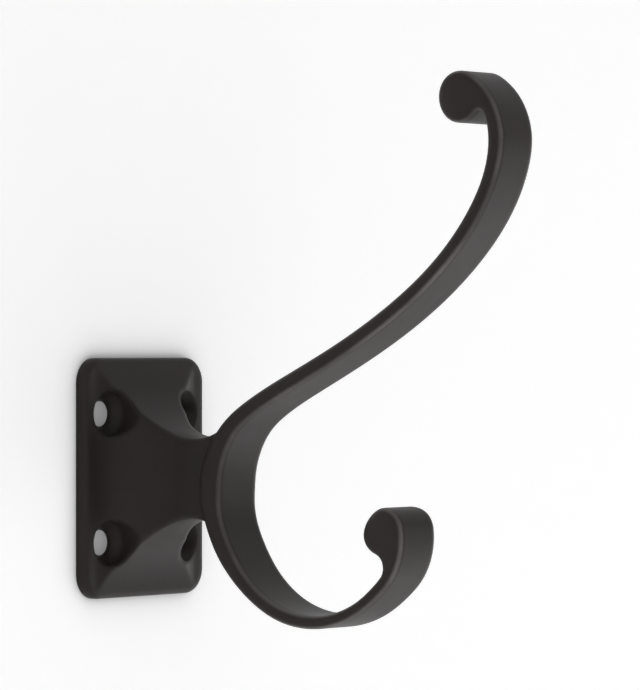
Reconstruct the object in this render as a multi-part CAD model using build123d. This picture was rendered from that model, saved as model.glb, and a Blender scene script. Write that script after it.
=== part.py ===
"""Double coat hook, cast in one piece.

Frame, in millimetres: the wall is the X-Z plane at Y = 0 and the hook stands out towards -Y.
+Z is up, and the origin is the centre of the plate's back face. The part is symmetric about X = 0.
Side views are drawn in (Y, Z), with headings in degrees from +Y, and moved to Plane.YZ.
"""
from build123d import *
from math import cos, radians, sin, sqrt, tan
import os

# Plate
PLATE_WIDTH = 32.5
PLATE_HEIGHT = 41.0
PLATE_THICKNESS = 2.0
PLATE_CORNER_R = 4.3
PLATE_EDGE_R = 0.95

# Screw holes, for countersunk wood screws
HOLE_SPACING_X = 20.4
HOLE_SPACING_Z = 22.0
SCREW_HOLE_D = 4.4
COUNTERSINK_D = 7.4
COUNTERSINK_ANGLE = 82.0
COUNTERBORE_D = 7.8
COUNTERBORE_FLOOR = 1.95

# Pedestal, a four-sided flare from the plate to the neck
NECK_WIDTH = 8.6
NECK_HEIGHT = 13.7
FLANK_R = 10.2
NECK_FLAT = 0.06
FLARE_SINK = 0.06
ARM_BLEND_R = 9.4
HOOK_BLEND_R = 4.5
RIDGE_R = 1.0

# Strap, one bent bar that is the arm above the neck and the hook below it
NECK_REACH = 19.9
NECK_Z = -2.1
NECK_STRAP = 4.3
STRAP_WIDTH = 11.0
WIDTH_TAPER = 0.020
STRAP_EDGE_R = 0.95

# Bends in order from the neck: radius, angle turned away from the wall, and thickness at the end
ARM_RADII = [16.1, 237.0, 96.4, 33.5]
ARM_ANGLES = [60.3, 4.2, -18.4, -31.3]
ARM_THICKNESSES = [2.85, 2.65, 2.45, 2.70]
HOOK_RADII = [16.1, 24.7, 18.8, 30.3]
HOOK_ANGLES = [16.4, 40.6, 69.9, 8.2]
HOOK_THICKNESSES = [3.60, 2.50, 2.05, 2.15]

# Last bend of each end, with the roll that the strap finishes in and the notch beside the roll
ARM_TIP_R = 11.1
ARM_TIP_ANGLE = 75.9
ARM_ROLL_R = 4.25
ARM_NOTCH_R = 0.8
ARM_DOME_R = 18.0
HOOK_TIP_R = 10.9
HOOK_TIP_ANGLE = 52.7
HOOK_ROLL_R = 4.0
HOOK_NOTCH_R = 2.4
HOOK_DOME_R = 6.0

# How finely a bend is drawn, and how far a cutting tool reaches past what it cuts
STATION_ANGLE = 14.0
TOOL_MARGIN = 1.0


def heading(angle):
    """Unit vector in a side view at an angle in degrees from +Y."""
    return Vector(cos(radians(angle)), sin(radians(angle)))


def ease(start, end, share):
    """Value that goes from start to end without a kink at either."""
    return start + (end - start) * share * share * (3 - 2 * share)


def bend_stations(start, angle, radius, turn, thickness, end_thickness):
    """Centre-line stations along one bend, each a point, a heading and a thickness.

    A positive turn is to the left. The first station is one step past the start.
    """
    steps = max(2, round(abs(turn) / STATION_ANGLE))
    lever = radius if turn > 0 else -radius
    centre = start + heading(angle + 90) * lever
    stations = []
    for step in range(1, steps + 1):
        share = step / steps
        direction = angle + turn * share
        point = centre - heading(direction + 90) * lever
        stations.append((point, direction, ease(thickness, end_thickness, share)))
    return stations


class Run:
    """Half of the strap, from the neck to the roll at its end.

    The roll lies to the right of the last bend, so the strap's left face runs into the roll and
    its right face meets the roll in a notch.

    Args:
        bends: the bends from the neck to the last one.
        tip: radius and turn of the last bend, always to the right.
        roll_r: radius of the roll.
        notch_r: radius of the notch between the roll and the strap.
        dome_r: radius of the dome on each end of the roll.
        side: +1 for the arm, which leaves the neck upwards, or -1 for the hook.
    """

    def __init__(self, bends, tip, roll_r, notch_r, dome_r, side):
        point = Vector(-NECK_REACH, NECK_Z)
        angle = 90.0 * side
        thickness = NECK_STRAP
        self.stations = [(point, angle, thickness)]
        self.bend_centres = []
        self.bend_ends = []
        self.side = side
        for radius, turn, end_thickness in bends:
            turn = side * turn
            lever = radius if turn > 0 else -radius
            self.bend_centres.append(point + heading(angle + 90) * lever)
            self.stations += bend_stations(point, angle, radius, turn, thickness, end_thickness)
            self.bend_ends.append(len(self.stations) - 1)
            point, angle, thickness = self.stations[-1]
        tip_r, tip_turn = tip
        self.tip_start = len(self.stations)
        self.tip_centre = point - heading(angle + 90) * tip_r
        self.stations += bend_stations(point, angle, tip_r, -tip_turn, thickness, thickness)
        inner_r = tip_r - thickness / 2
        self.end_angle = self.stations[-1][1]
        self.roll_r = roll_r
        self.notch_r = notch_r
        self.dome_r = dome_r
        self.roll_start = self.left()[-1]
        self.roll_centre = self.roll_start - heading(self.end_angle + 90) * roll_r
        notch = circles_meet(self.tip_centre, inner_r - notch_r, self.roll_centre, roll_r + notch_r)
        self.roll_end = self.roll_centre + (notch - self.roll_centre) * (roll_r / (roll_r + notch_r))
        to_notch = notch - self.tip_centre
        self.notch_end = self.tip_centre + to_notch * (inner_r / (inner_r - notch_r))
        half_way = (self.roll_end - notch) + (self.notch_end - notch)
        self.notch_middle = notch + half_way.normalized() * notch_r
        across = (self.roll_start - self.roll_centre) + (self.roll_end - self.roll_centre)
        self.roll_direction = across.normalized() * -1

    def left(self):
        """Points of the face on the left of the run, from the neck to the roll."""
        return [point + heading(angle + 90) * (size / 2) for point, angle, size in self.stations]

    def right(self):
        """Points of the face on the right of the run, from the neck to the notch."""
        points = []
        for point, angle, size in self.stations[: self.tip_start]:
            face_point = point - heading(angle + 90) * (size / 2)
            if (face_point - self.notch_end).length > self.notch_r:
                points.append(face_point)
        return points + [self.notch_end]

    def wall_face_radius(self, bend):
        """Distance from the centre of a bend to the strap's wall side, half-way along the bend."""
        start = self.bend_ends[bend - 1] if bend else 0
        point, angle, size = self.stations[(start + self.bend_ends[bend] + 1) // 2]
        face_point = point - heading(angle + 90) * (self.side * size / 2)
        return (face_point - self.bend_centres[bend]).length

    def notch_heading(self):
        """Heading of the right face where the notch leaves it."""
        out = (self.notch_end - self.tip_centre).normalized()
        return Vector(out.Y, -out.X)

    def end_edges(self):
        """Arc round the roll, then the notch."""
        roll_middle = self.roll_centre + self.roll_direction * self.roll_r
        roll = ThreePointArc(self.roll_start, roll_middle, self.roll_end)
        notch = ThreePointArc(self.roll_end, self.notch_middle, self.notch_end)
        return [roll, notch]


def circles_meet(centre_a, radius_a, centre_b, radius_b):
    """Point where two circles meet, on the left when looking from the first centre to the second."""
    across = centre_b - centre_a
    gap = across.length
    along = (radius_a ** 2 - radius_b ** 2 + gap ** 2) / (2 * gap)
    aside = sqrt(radius_a ** 2 - along ** 2)
    ahead = across.normalized()
    return centre_a + ahead * along + Vector(-ahead.Y, ahead.X) * aside


def strap_profile(arm, hook):
    """Side view of the whole strap, as one closed outline of smooth curves."""
    front_points = hook.right()[::-1] + arm.left()[1:]
    back_points = arm.right()[::-1] + hook.left()[1:]
    front_ends = [hook.notch_heading() * -1, heading(arm.end_angle)]
    back_ends = [arm.notch_heading() * -1, heading(hook.end_angle)]
    front = Spline(*front_points, tangents=front_ends, tangent_scalars=(1, 1))
    back = Spline(*back_points, tangents=back_ends, tangent_scalars=(1, 1))
    return make_face([front, *arm.end_edges(), back, *hook.end_edges()])


def half_width(reach):
    """Half of the strap's width at a distance from the wall."""
    return (STRAP_WIDTH - WIDTH_TAPER * (reach - NECK_REACH)) / 2


def width_envelope(profile):
    """Prism that narrows away from the wall and holds the strap between its two sides."""
    box = profile.bounding_box()
    near, far = -box.max.Y, -box.min.Y
    corners = [
        (half_width(near), -near),
        (half_width(far), -far),
        (-half_width(far), -far),
        (-half_width(near), -near),
    ]
    plan = make_face(Polyline(*corners, close=True))
    prism = extrude(plan, box.size.Z + 2 * TOOL_MARGIN)
    return Pos(0, 0, box.min.Z - TOOL_MARGIN) * prism


def dome_tool(run):
    """Tool that rounds the end of a roll on the +X side down towards its free edge.

    Its curved face leaves the side of the strap in line with it, above the centre of the roll.
    """
    away = run.roll_direction
    outward = Vector(1, -WIDTH_TAPER / 2, 0).normalized()
    along = Vector(away.X * WIDTH_TAPER / 2, away.X, away.Y).normalized()
    centre = run.roll_centre
    origin = Vector(half_width(-centre.X), centre.X, centre.Y)
    plane = Plane(origin, x_dir=along, z_dir=outward.cross(along))
    length = run.roll_r + TOOL_MARGIN
    drop = run.dome_r - sqrt(run.dome_r ** 2 - length ** 2)
    dome = RadiusArc((0, 0), (length, drop), -run.dome_r)
    block = Polyline((length, drop), (length, -TOOL_MARGIN), (0, -TOOL_MARGIN), (0, 0))
    return extrude(plane * make_face([dome, block]), length, both=True)


def build_strap(arm, hook):
    """Arm, hook and rolls, tapered in width, with every long edge rounded."""
    side_view = Plane.YZ * strap_profile(arm, hook)
    strap = extrude(side_view, STRAP_WIDTH, both=True) & width_envelope(side_view)
    for run in (arm, hook):
        tool = dome_tool(run)
        strap = strap - tool - mirror(tool, Plane.YZ)
    long_edges = strap.edges().filter_by(GeomType.LINE, reverse=True)
    return fillet(long_edges, STRAP_EDGE_R)


def blend(level, radius, bend_centre, face_r):
    """Arc that leaves the neck at a level and runs onto a round face of the strap.

    Returns the arc, its start on the level and its end on the strap's face.
    """
    up = 1 if level > 0 else -1
    rise = level + up * radius - bend_centre.Y
    reach = sqrt((face_r + radius) ** 2 - rise ** 2)
    centre = Vector(bend_centre.X + reach, level + up * radius)
    start = Vector(centre.X, level)
    end = bend_centre + (centre - bend_centre) * (face_r / (face_r + radius))
    middle = ((start - centre) + (end - centre)).normalized() * radius + centre
    return ThreePointArc(start, middle, end), start, end


def flare_arc(foot_r, neck_half):
    """Hollow quarter arc from the plate's face to the side of the neck.

    Drawn as (distance from the middle, Y). It starts a little under the plate's face.
    """
    centre = Vector(neck_half + foot_r, FLARE_SINK - PLATE_THICKNESS - foot_r)
    foot_y = FLARE_SINK / 2 - PLATE_THICKNESS
    foot = Vector(centre.X - sqrt(foot_r ** 2 - (foot_y - centre.Y) ** 2), foot_y)
    neck = Vector(neck_half, centre.Y)
    middle = ((foot - centre) + (neck - centre)).normalized() * foot_r + centre
    return foot, middle, neck


def swapped(point, sign):
    """Point of a flare arc as a side-view (Y, Z) point above (+1) or below (-1) the middle."""
    return Vector(point.Y, sign * point.X)


def flare_side_view(arm, hook):
    """Side view of the pedestal: plate, saddle, neck and blend, above and below.

    Both saddles have the radius that fits between the plate and the nearer of the two blends.
    """
    half = NECK_HEIGHT / 2
    sides = ((1, arm, ARM_BLEND_R, 0), (-1, hook, HOOK_BLEND_R, 1))
    blends = []
    for sign, run, blend_r, bend in sides:
        face_r = run.wall_face_radius(bend) - FLARE_SINK / 2
        blends.append(blend(sign * half, blend_r, run.bend_centres[bend], face_r))
    nearest = min(-start.X for _, start, _ in blends)
    saddle_r = nearest - NECK_FLAT - PLATE_THICKNESS + FLARE_SINK
    edges = []
    feet = []
    for (sign, _, _, _), (curve, start, _) in zip(sides, blends):
        foot, middle, neck = [swapped(point, sign) for point in flare_arc(saddle_r, half)]
        edges += [ThreePointArc(foot, middle, neck), Line(neck, start), curve]
        feet.append(foot)
    edges += [Line(*[end for _, _, end in blends]), Line(*feet)]
    return make_face(edges)


def flare_plan(reach):
    """Plan view (X, Y) of the pedestal, from the plate to a distance in front of the wall."""
    foot, middle, neck = flare_arc(FLANK_R, NECK_WIDTH / 2)
    curve = ThreePointArc(foot, middle, neck)
    front = Vector(neck.X, -reach)
    sides = [curve, Line(neck, front)]
    sides += [mirror(edge, Plane.YZ) for edge in (curve, Line(neck, front))]
    sides.append(Line(front, Vector(-front.X, front.Y)))
    sides.append(Line(foot, Vector(-foot.X, foot.Y)))
    return make_face(sides)


def plate_outline(inset):
    """Outline of the plate on the wall, or a smaller one inside it."""
    width = PLATE_WIDTH - 2 * inset
    height = PLATE_HEIGHT - 2 * inset
    return Plane.XZ * RectangleRounded(width, height, PLATE_CORNER_R - inset)


def build_plate():
    """Plate with rounded corners and a rounded front edge."""
    plate = extrude(plate_outline(0), PLATE_THICKNESS)
    front = plate.faces().sort_by(Axis.Y)[0]
    return fillet(front.edges(), PLATE_EDGE_R)


def build_pedestal(arm, hook):
    """Four hollow faces that meet in rounded ridges, from the plate to the strap."""
    side_view = Plane.YZ * flare_side_view(arm, hook)
    box = side_view.bounding_box()
    sideways = extrude(side_view, PLATE_WIDTH, both=True)
    upright = extrude(flare_plan(TOOL_MARGIN - box.min.Y), PLATE_HEIGHT, both=True)
    flare = sideways & upright
    by_reach = flare.faces().sort_by(Axis.Y)
    plain = by_reach[0].edges() + by_reach[-1].edges() + flare.edges().filter_by(Axis.X)
    ridges = [edge for edge in flare.edges() if edge not in plain]
    return fillet(ridges, RIDGE_R) & extrude(plate_outline(PLATE_EDGE_R), -box.min.Y)


def screw_hole_tools():
    """Tools for the four countersunk holes, counterbored where the pedestal rises round them."""
    sink_depth = (COUNTERSINK_D - SCREW_HOLE_D) / 2 / tan(radians(COUNTERSINK_ANGLE / 2))
    outline = Polyline(
        (0, TOOL_MARGIN),
        (SCREW_HOLE_D / 2, TOOL_MARGIN),
        (SCREW_HOLE_D / 2, sink_depth - COUNTERBORE_FLOOR),
        (COUNTERSINK_D / 2, -COUNTERBORE_FLOOR),
        (COUNTERBORE_D / 2, -COUNTERBORE_FLOOR),
        (COUNTERBORE_D / 2, -NECK_REACH),
        (0, -NECK_REACH),
        close=True,
    )
    tool = revolve(make_face(outline), Axis.Y)
    tools = []
    for x in (-HOLE_SPACING_X / 2, HOLE_SPACING_X / 2):
        for z in (-HOLE_SPACING_Z / 2, HOLE_SPACING_Z / 2):
            tools.append(Pos(x, 0, z) * tool)
    return tools


def build_casting():
    """The whole hook as one solid."""
    arm_bends = list(zip(ARM_RADII, ARM_ANGLES, ARM_THICKNESSES))
    hook_bends = list(zip(HOOK_RADII, HOOK_ANGLES, HOOK_THICKNESSES))
    arm = Run(arm_bends, (ARM_TIP_R, ARM_TIP_ANGLE), ARM_ROLL_R, ARM_NOTCH_R, ARM_DOME_R, 1)
    hook_tip = (HOOK_TIP_R, HOOK_TIP_ANGLE)
    hook = Run(hook_bends, hook_tip, HOOK_ROLL_R, HOOK_NOTCH_R, HOOK_DOME_R, -1)
    casting = build_plate() + build_pedestal(arm, hook) + build_strap(arm, hook)
    for tool in screw_hole_tools():
        casting = casting - tool
    return casting


def main():
    """Write the casting's STEP file."""
    os.makedirs("parts", exist_ok=True)
    export_step(build_casting(), "parts/hook_casting.step")


if __name__ == "__main__":
    main()
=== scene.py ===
"""Looks of a cast double coat hook on a pale wall.

Everything is in metres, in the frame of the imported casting: the wall is the plane Y = 0, the hook
stands out towards -Y, and +Z is up.
"""
import logging
import math
from dataclasses import dataclass, field
from enum import Enum
from typing import Any, Dict, List, Optional, Tuple, Union

import bmesh
import bpy
from mathutils import Matrix, Vector

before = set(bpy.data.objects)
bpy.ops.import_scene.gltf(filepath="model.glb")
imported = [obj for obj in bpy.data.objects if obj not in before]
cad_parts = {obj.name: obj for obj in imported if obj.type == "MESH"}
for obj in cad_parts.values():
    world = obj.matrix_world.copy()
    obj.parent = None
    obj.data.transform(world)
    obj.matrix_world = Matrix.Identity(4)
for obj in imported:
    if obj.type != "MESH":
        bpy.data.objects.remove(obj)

logging.basicConfig(level=logging.INFO, format="%(name)s: %(message)s")
LOG = logging.getLogger("coat_hook")

MILLIMETRE = 0.001

Colour = Tuple[float, float, float]
Point = Tuple[float, float, float]
Range = Tuple[float, float]

BLACK: Colour = (0.0, 0.0, 0.0)
WHITE: Colour = (1.0, 1.0, 1.0)


class RayKind(Enum):
    """Kinds of ray that a surface can tell apart, by the name of their Light Path socket."""

    CAMERA = "Is Camera Ray"
    GLOSSY = "Is Glossy Ray"
    TRANSMISSION = "Is Transmission Ray"
    SHADOW = "Is Shadow Ray"


class Surface:
    """Node tree of one material or world, built one node at a time."""

    MIX_SHARE, MIX_FIRST, MIX_SECOND, MIX_RESULT = 0, 6, 7, 2

    def __init__(self, tree: bpy.types.NodeTree) -> None:
        """Start with an empty tree.

        Args:
            tree: the node tree of a material or a world.
        """
        self.tree = tree
        self.tree.nodes.clear()

    def node(self, kind: str, settings: Optional[Dict[str, Any]] = None,
             inputs: Optional[Dict[Union[str, int], Any]] = None) -> bpy.types.Node:
        """Add a node.

        Args:
            kind: the node's type, such as ShaderNodeBump.
            settings: the node's own properties, set before its sockets.
            inputs: a value, a socket or a Wire for each socket, by name or place.

        Returns:
            The new node.
        """
        made = self.tree.nodes.new(kind)
        for name, value in (settings or {}).items():
            setattr(made, name, value)
        for key, value in (inputs or {}).items():
            self.feed(made.inputs[key], value)
        return made

    def feed(self, target: bpy.types.NodeSocket, value: Any) -> None:
        """Give a socket a link or a plain value.

        Args:
            target: the input socket.
            value: a Wire, a node's output socket, a number, or a tuple.
        """
        if isinstance(value, Wire):
            value = value.socket
        if isinstance(value, bpy.types.NodeSocket):
            self.tree.links.new(value, target)
        else:
            target.default_value = value

    def wire(self, socket: bpy.types.NodeSocket) -> "Wire":
        """Wrap an output socket for use in sums."""
        return Wire(self, socket)

    def blend(self, share: "Wire", first: Any, second: Any) -> bpy.types.NodeSocket:
        """Blend two colours.

        Args:
            share: the share of the second colour.
            first: a colour or a socket.
            second: a colour or a socket.

        Returns:
            The blended colour.
        """
        made = self.node("ShaderNodeMix", {"data_type": "RGBA"},
                         {self.MIX_SHARE: share, self.MIX_FIRST: first, self.MIX_SECOND: second})
        return made.outputs[self.MIX_RESULT]

    def light_path(self, *kinds: RayKind) -> "Wire":
        """Mask that is 1 for a ray of any of the given kinds.

        Args:
            kinds: the kinds of ray.

        Returns:
            The mask.
        """
        path = self.node("ShaderNodeLightPath")
        mask = self.wire(path.outputs[kinds[0].value])
        for kind in kinds[1:]:
            mask = mask.larger(self.wire(path.outputs[kind.value]))
        return mask


@dataclass(frozen=True)
class Wire:
    """A number that runs through a node tree, with the operators that the finishes use."""

    surface: Surface
    socket: bpy.types.NodeSocket

    def _math(self, operation: str, first: Any, second: Any = 0.0) -> "Wire":
        """Add a Math node.

        Args:
            operation: the node's operation.
            first: its first value.
            second: its second value.

        Returns:
            The node's result.
        """
        made = self.surface.node("ShaderNodeMath", {"operation": operation}, {0: first, 1: second})
        return Wire(self.surface, made.outputs[0])

    def __add__(self, other: Any) -> "Wire":
        """self + other."""
        return self._math("ADD", self, other)

    def __radd__(self, other: float) -> "Wire":
        """other + self."""
        return self._math("ADD", other, self)

    def __sub__(self, other: Any) -> "Wire":
        """self - other."""
        return self._math("SUBTRACT", self, other)

    def __rsub__(self, other: float) -> "Wire":
        """other - self."""
        return self._math("SUBTRACT", other, self)

    def __mul__(self, other: Any) -> "Wire":
        """self * other."""
        return self._math("MULTIPLY", self, other)

    def __rmul__(self, other: float) -> "Wire":
        """other * self."""
        return self._math("MULTIPLY", other, self)

    def size(self) -> "Wire":
        """This value without its sign."""
        return self._math("ABSOLUTE", self)

    def larger(self, other: Any) -> "Wire":
        """The larger of this and another value."""
        return self._math("MAXIMUM", self, other)

    def below(self, limit: float) -> "Wire":
        """1 where this value is less than a limit, and 0 elsewhere."""
        return self._math("LESS_THAN", self, limit)

    def ramp(self, low: float, high: float) -> "Wire":
        """Smooth step of this value.

        Args:
            low: the value that becomes 0.
            high: the value that becomes 1.

        Returns:
            The smoothed value.
        """
        made = self.surface.node(
            "ShaderNodeMapRange", {"interpolation_type": "SMOOTHSTEP", "clamp": True},
            {"Value": self, "From Min": low, "From Max": high, "To Min": 0.0, "To Max": 1.0})
        return Wire(self.surface, made.outputs["Result"])


@dataclass(frozen=True)
class DarkBronzeCoat:
    """Satin dark bronze powder coat on a casting, with a painted highlight: a lighter colour on the
    rounded edges of the strap.
    """

    NOISE_MEAN = 0.5
    NOISE_ROUGHNESS = 0.55

    name: str = "dark_bronze_coat"
    coat_colour: Colour = (0.0222, 0.0188, 0.0178)
    warm_colour: Colour = (0.0258, 0.0212, 0.0196)
    # Colour of the painted highlight on the rounded strap edges.
    edge_highlight_colour: Colour = (0.1250, 0.1165, 0.1130)
    roughness: float = 0.44
    roughness_swing: float = 0.07
    specular: float = 0.11
    patch_size: float = 16 * MILLIMETRE
    grain_size: float = 0.42 * MILLIMETRE
    grain_depth: float = 0.010 * MILLIMETRE
    cast_wave_size: float = 7 * MILLIMETRE
    cast_wave_depth: float = 0.05 * MILLIMETRE
    edge_radius: float = 1.3 * MILLIMETRE
    edge_samples: int = 6
    neck_reach: float = 20 * MILLIMETRE
    neck_blend: float = 2 * MILLIMETRE
    edge_starts: Range = (0.02, 0.30)
    edge_ends: Range = (0.60, 0.97)
    # Least share, smoothing and patchiness of the painted highlight on the strap edges.
    edge_highlight_least: float = 0.45
    edge_highlight_polish: float = 0.06
    edge_highlight_patches: Range = (0.35, 0.65)
    warm_patches: Range = (0.35, 0.70)

    def _edges(self, surface: Surface, place: bpy.types.NodeSocket) -> Wire:
        """Mask of the rounded long edges of the strap, where it faces partly sideways, which
        carries the painted highlight.

        Args:
            surface: the material being built.
            place: the coordinates.

        Returns:
            A mask that is 1 in the middle of an edge.
        """
        facing = surface.node("ShaderNodeNewGeometry").outputs["Normal"]
        faces = surface.node("ShaderNodeSeparateXYZ", None, {"Vector": facing})
        spot = surface.node("ShaderNodeSeparateXYZ", None, {"Vector": place})
        sideways = surface.wire(faces.outputs["X"]).size()
        reach = 0.0 - surface.wire(spot.outputs["Y"])
        strap = reach.ramp(self.neck_reach, self.neck_reach + self.neck_blend)
        return strap * sideways.ramp(*self.edge_starts) * (1.0 - sideways.ramp(*self.edge_ends))

    def _noise(self, surface: Surface, place: bpy.types.NodeSocket, size: float,
               octaves: float) -> Wire:
        """Noise of a given size in the casting's own frame.

        Args:
            surface: the material being built.
            place: the coordinates.
            size: the distance between one patch and the next.
            octaves: the number of finer copies that are added.

        Returns:
            The noise, about 0.5 on average.
        """
        made = surface.node("ShaderNodeTexNoise", {"noise_dimensions": "3D"},
                            {"Vector": place, "Scale": 1 / size, "Detail": octaves,
                             "Roughness": self.NOISE_ROUGHNESS})
        return surface.wire(made.outputs["Fac"])

    def build(self) -> bpy.types.Material:
        """Make the material.

        Returns:
            The finished material.
        """
        material = bpy.data.materials.new(self.name)
        material.use_nodes = True
        surface = Surface(material.node_tree)
        place = surface.node("ShaderNodeTexCoord").outputs["Object"]
        patches = self._noise(surface, place, self.patch_size, octaves=3.0)
        grain = self._noise(surface, place, self.grain_size, octaves=2.0)
        wave = self._noise(surface, place, self.cast_wave_size, octaves=1.0)
        rounded = surface.node("ShaderNodeBevel", {"samples": self.edge_samples},
                               {"Radius": self.edge_radius})
        # Painted highlight: the rounded strap edges get a lighter, patchy colour and a lower
        # roughness, standing in for the light that they catch.
        uneven = self.edge_highlight_least + (1.0 - self.edge_highlight_least) * patches.ramp(*self.edge_highlight_patches)
        painted_edge_highlight = self._edges(surface, place) * uneven
        tint = surface.blend(patches.ramp(*self.warm_patches), (*self.coat_colour, 1),
                             (*self.warm_colour, 1))
        colour = surface.blend(painted_edge_highlight, tint, (*self.edge_highlight_colour, 1))
        roughness = (self.roughness + (patches - self.NOISE_MEAN) * self.roughness_swing
                     - self.edge_highlight_polish * painted_edge_highlight)
        broad = surface.node("ShaderNodeBump", None,
                             {"Strength": 1.0, "Distance": self.cast_wave_depth, "Height": wave,
                              "Normal": rounded.outputs["Normal"]})
        fine = surface.node("ShaderNodeBump", None,
                            {"Strength": 1.0, "Distance": self.grain_depth, "Height": grain,
                             "Normal": broad.outputs["Normal"]})
        coat = surface.node(
            "ShaderNodeBsdfPrincipled", None,
            {"Base Color": colour, "Roughness": roughness,
             "Specular IOR Level": self.specular, "Metallic": 0.0,
             "Normal": fine.outputs["Normal"]})
        surface.node("ShaderNodeOutputMaterial", None, {"Surface": coat.outputs["BSDF"]})
        return material


@dataclass(frozen=True)
class PaleGround:
    """Plain pale paint of the wall or the floor, seen from its front only, with painted shade close
    to the hook.

    A ray shorter than the contact length starts on the back of the plate, which lies on the wall;
    it passes, so that the plate's back is lit by the room when it is looked at from behind.
    Within the covered half sizes the plate lies on the paint, which doesn't glow there, so the
    paint seen through the screw holes is painted shade. Far from the hook, where the lamps don't
    reach, the paint gives way to the white room.
    """

    name: str
    colour: Colour = (0.92, 0.92, 0.92)
    glow: float = 0.325
    shade_reach: float = 6 * MILLIMETRE
    shade_samples: int = 8
    least_paint: float = 0.45
    blocks_light: bool = False
    contact: float = 0.1 * MILLIMETRE
    covered: Tuple[float, float] = (0.0, 0.0)
    fade_from: float = 1.0
    fade_to: float = 1.6

    def build(self) -> bpy.types.Material:
        """Make the material.

        Returns:
            The finished material.
        """
        material = bpy.data.materials.new(self.name)
        material.use_nodes = True
        surface = Surface(material.node_tree)
        place = surface.node("ShaderNodeTexCoord").outputs["Object"]
        spot = surface.node("ShaderNodeSeparateXYZ", None, {"Vector": place})
        # Where the plate covers the wall there is no glow, which darkens the paint seen through the
        # screw holes as painted shade.
        under = (surface.wire(spot.outputs["X"]).size().below(self.covered[0])
                 * surface.wire(spot.outputs["Z"]).size().below(self.covered[1]))
        distance = surface.node("ShaderNodeVectorMath", {"operation": "LENGTH"}, {0: place})
        far = surface.wire(distance.outputs["Value"]).ramp(self.fade_from, self.fade_to)
        nearby = surface.node("ShaderNodeAmbientOcclusion", {"samples": self.shade_samples},
                              {"Distance": self.shade_reach})
        openness = surface.wire(nearby.outputs["AO"])
        # Painted shade: the paint is darkened where the hook is near, by ambient occlusion, down to
        # the least_paint share.
        shaded = surface.blend(self.least_paint + (1.0 - self.least_paint) * openness,
                               (*BLACK, 1), (*self.colour, 1))
        paint = surface.node("ShaderNodeBsdfDiffuse", None, {"Color": shaded})
        # The glow also fades where the hook is near, as painted shade, and is off where the plate
        # covers the paint.
        glow = surface.node("ShaderNodeEmission", None,
                            {"Color": (*WHITE, 1),
                             "Strength": openness * openness * self.glow * (1.0 - under)})
        lit = surface.node("ShaderNodeAddShader", None,
                           {0: paint.outputs[0], 1: glow.outputs[0]})
        clear = surface.node("ShaderNodeBsdfTransparent")
        behind = surface.wire(surface.node("ShaderNodeNewGeometry").outputs["Backfacing"])
        path = surface.node("ShaderNodeLightPath")
        touching = surface.wire(path.outputs["Ray Length"]).below(self.contact)
        passes = behind.larger(touching).larger(far * surface.light_path(RayKind.CAMERA))
        if not self.blocks_light:
            passes = passes.larger(surface.light_path(RayKind.SHADOW))
        shown = surface.node("ShaderNodeMixShader", None,
                             {0: passes, 1: lit.outputs[0], 2: clear.outputs[0]})
        surface.node("ShaderNodeOutputMaterial", None, {"Surface": shown.outputs[0]})
        return material


@dataclass
class Casting:
    """The hook itself: plate, flared neck, arm and hook in one piece."""

    node: str = "hook_casting"
    finish: DarkBronzeCoat = field(default_factory=DarkBronzeCoat)

    def dress(self) -> bpy.types.Object:
        """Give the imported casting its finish.

        Returns:
            The casting.
        """
        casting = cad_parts[self.node]
        material = self.finish.build()
        for slot in casting.material_slots:
            slot.material = material
        return casting


@dataclass
class Surroundings:
    """Wall behind the plate and floor below it."""

    wall_half: float = 3.0
    wall_gap: float = 0.02 * MILLIMETRE
    floor_drop: float = 0.9
    floor_half: float = 3.0
    # The wall glows nowhere under the plate, which paints shade into the screw holes.
    wall_paint: PaleGround = PaleGround(
        "wall_paint", covered=(14 * MILLIMETRE, 16 * MILLIMETRE))
    floor_paint: PaleGround = PaleGround("floor_paint", glow=0.30, blocks_light=True)

    def _sheet(self, name: str, half: float, centre: Point, turn: float,
               paint: PaleGround) -> bpy.types.Object:
        """Make one flat square.

        Args:
            name: the object's name.
            half: half of its side.
            centre: its middle.
            turn: angle about X that turns its face from up.
            paint: its finish.

        Returns:
            The square.
        """
        mesh = bpy.data.meshes.new(name)
        shape = bmesh.new()
        bmesh.ops.create_grid(shape, x_segments=1, y_segments=1, size=half)
        bmesh.ops.rotate(shape, verts=shape.verts, cent=(0, 0, 0),
                         matrix=Matrix.Rotation(turn, 3, "X"))
        bmesh.ops.translate(shape, verts=shape.verts, vec=centre)
        shape.to_mesh(mesh)
        shape.free()
        mesh.materials.append(paint.build())
        sheet = bpy.data.objects.new(name, mesh)
        bpy.context.scene.collection.objects.link(sheet)
        return sheet

    def build(self) -> List[bpy.types.Object]:
        """Make the wall and the floor.

        Returns:
            Both, wall first.
        """
        wall = self._sheet("wall", self.wall_half, (0, self.wall_gap, 0), math.pi / 2,
                           self.wall_paint)
        floor = self._sheet("floor", self.floor_half, (0, 0, -self.floor_drop), 0.0,
                            self.floor_paint)
        return [wall, floor]


@dataclass(frozen=True)
class SoftLamp:
    """One large soft lamp that faces the hook."""

    name: str
    azimuth: float
    elevation: float
    distance: float
    size: float
    strength: float

    def build(self, target: Vector) -> bpy.types.Object:
        """Hang the lamp.

        Args:
            target: the point that it faces.

        Returns:
            The lamp.
        """
        light = bpy.data.lights.new(self.name, "AREA")
        light.shape = "DISK"
        light.size = self.size
        light.energy = self.strength
        lamp = bpy.data.objects.new(self.name, light)
        side, rise = math.radians(self.azimuth), math.radians(self.elevation)
        away = Vector((math.sin(side) * math.cos(rise), -math.cos(side) * math.cos(rise),
                       math.sin(rise)))
        lamp.location = target + away * self.distance
        lamp.rotation_mode = "QUATERNION"
        lamp.rotation_quaternion = away.to_track_quat("Z", "Y")
        bpy.context.scene.collection.objects.link(lamp)
        return lamp


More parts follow.
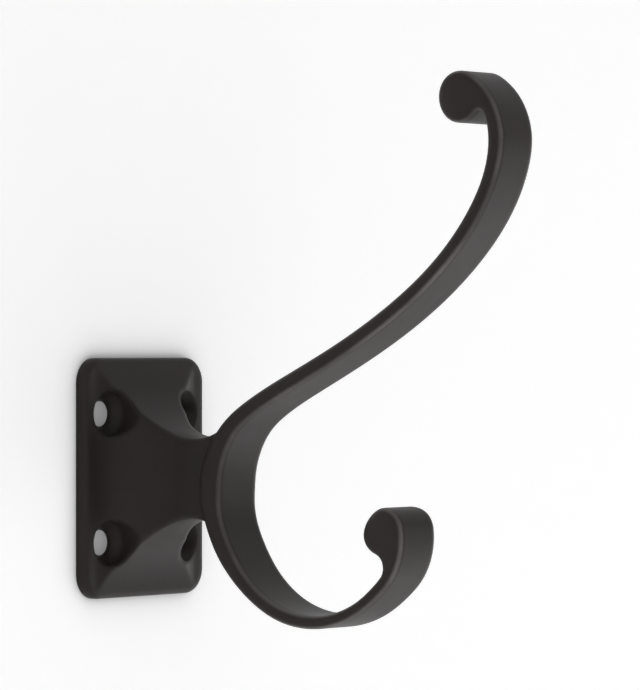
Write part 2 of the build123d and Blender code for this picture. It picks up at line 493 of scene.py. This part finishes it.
@dataclass
class Studio:
    """Lamps, world and camera."""

    target: Point = (0.0, -0.03, 0.022)
    lamps: Tuple[SoftLamp, ...] = (
        SoftLamp("key", 84.0, -28.0, 1.3, 1.6, 10.5),
        SoftLamp("fill", -17.0, -4.0, 1.3, 2.6, 6.2),
        SoftLamp("back", 180.0, 30.0, 1.4, 1.0, 4.0),
    )
    world_light: float = 0.30
    world_seen: float = 0.955
    eye: Point = (-0.6199, -0.5067, 0.02273)
    eye_azimuth: float = -53.0
    focal_length: float = 242.1
    sensor: float = 36.0

    def _world(self) -> None:
        """Light the room evenly, and show it white where nothing stands."""
        world = bpy.data.worlds.new("room")
        bpy.context.scene.world = world
        world.use_nodes = True
        surface = Surface(world.node_tree)
        seen = surface.light_path(RayKind.CAMERA, RayKind.GLOSSY, RayKind.TRANSMISSION)
        strength = self.world_light + (self.world_seen - self.world_light) * seen
        room = surface.node("ShaderNodeBackground", None,
                            {"Color": (*WHITE, 1), "Strength": strength})
        surface.node("ShaderNodeOutputWorld", None, {"Surface": room.outputs[0]})

    def _camera(self) -> bpy.types.Object:
        """Place the camera, level and a little in front of the wall.

        Returns:
            The camera.
        """
        lens = bpy.data.cameras.new("camera")
        lens.lens = self.focal_length
        lens.sensor_width = self.sensor
        camera = bpy.data.objects.new("camera", lens)
        camera.location = self.eye
        camera.rotation_euler = (math.pi / 2, 0, math.radians(self.eye_azimuth))
        bpy.context.scene.collection.objects.link(camera)
        bpy.context.scene.camera = camera
        return camera

    def build(self) -> List[bpy.types.Object]:
        """Set up the light and the camera.

        Returns:
            The lamps and the camera.
        """
        bpy.context.scene.view_settings.view_transform = "Standard"
        self._world()
        made = [lamp.build(Vector(self.target)) for lamp in self.lamps]
        return made + [self._camera()]


def main() -> None:
    """Dress the casting, then set the room and the light around it."""
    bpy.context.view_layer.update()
    casting = Casting().dress()
    LOG.info("%s: dressed, %d triangles", casting.name, len(casting.data.polygons))
    for piece in Surroundings().build() + Studio().build():
        LOG.info("%s: placed at %s", piece.name, tuple(round(v, 3) for v in piece.location))


if __name__ == "__main__":
    main()
